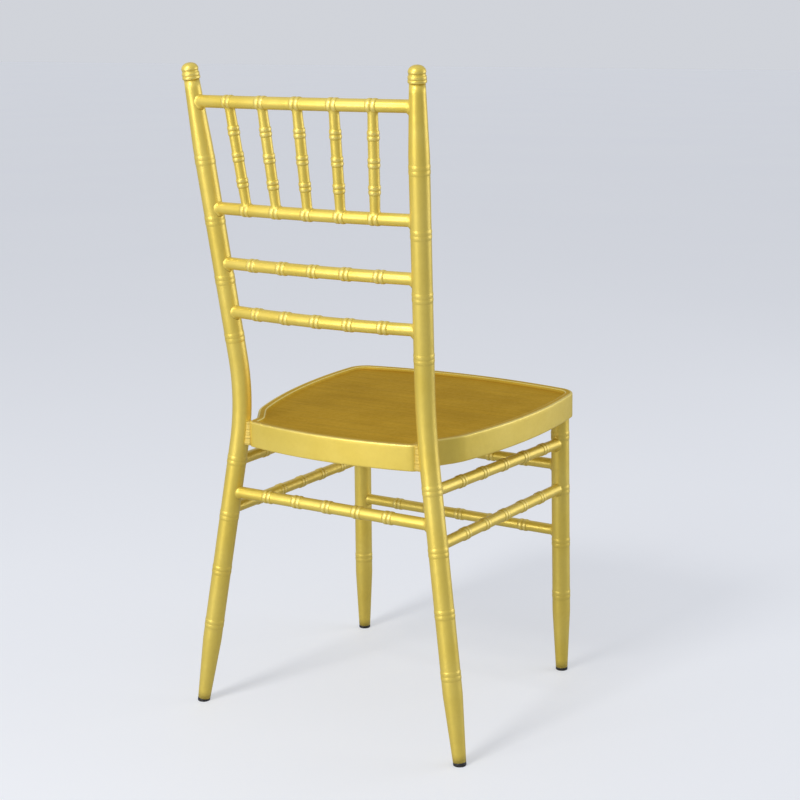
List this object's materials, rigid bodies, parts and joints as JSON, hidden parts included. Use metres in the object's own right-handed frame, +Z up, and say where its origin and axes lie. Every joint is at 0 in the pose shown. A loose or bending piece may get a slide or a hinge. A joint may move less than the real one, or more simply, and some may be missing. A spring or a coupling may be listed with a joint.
{
  "type": "banquet chair",
  "caption": "Stacking banquet chair in welded gold tube with bamboo rings, ladder back with spindles and a shallow dished metal seat.",
  "frame": {"origin": "centre of the chair's box on the floor, under the seat", "axes": "+Z up, +X to the sitter's left, the chair faces -Y and its back is at +Y"},
  "size_m": [0.4502, 0.4706, 0.9204],
  "materials": {
    "gold_lacquer": "satin gold lacquer over welded steel tube",
    "gold_pan": "satin gold lacquer over pressed sheet steel",
    "black_plug": "matte black polyethylene"
  },
  "bodies": {
    "root": {"rear_post_left": "gold_lacquer", "rear_post_right": "gold_lacquer", "front_leg_left": "gold_lacquer", "front_leg_right": "gold_lacquer", "finial_left": "gold_lacquer", "finial_right": "gold_lacquer", "top_rail": "gold_lacquer", "spindle_rail": "gold_lacquer", "middle_rail": "gold_lacquer", "lower_rail": "gold_lacquer", "spindle_1": "gold_lacquer", "spindle_2": "gold_lacquer", "spindle_3": "gold_lacquer", "spindle_4": "gold_lacquer", "spindle_5": "gold_lacquer", "side_stretcher_upper_left": "gold_lacquer", "side_stretcher_upper_right": "gold_lacquer", "side_stretcher_lower_left": "gold_lacquer", "side_stretcher_lower_right": "gold_lacquer", "front_stretcher_upper": "gold_lacquer", "front_stretcher_lower": "gold_lacquer", "rear_stretcher": "gold_lacquer", "seat_pan": "gold_pan", "seat_seam_left": "gold_lacquer", "seat_seam_right": "gold_lacquer", "foot_plug_rear_left": "black_plug", "foot_plug_rear_right": "black_plug", "foot_plug_front_left": "black_plug", "foot_plug_front_right": "black_plug"}
  },
  "joints": []
}
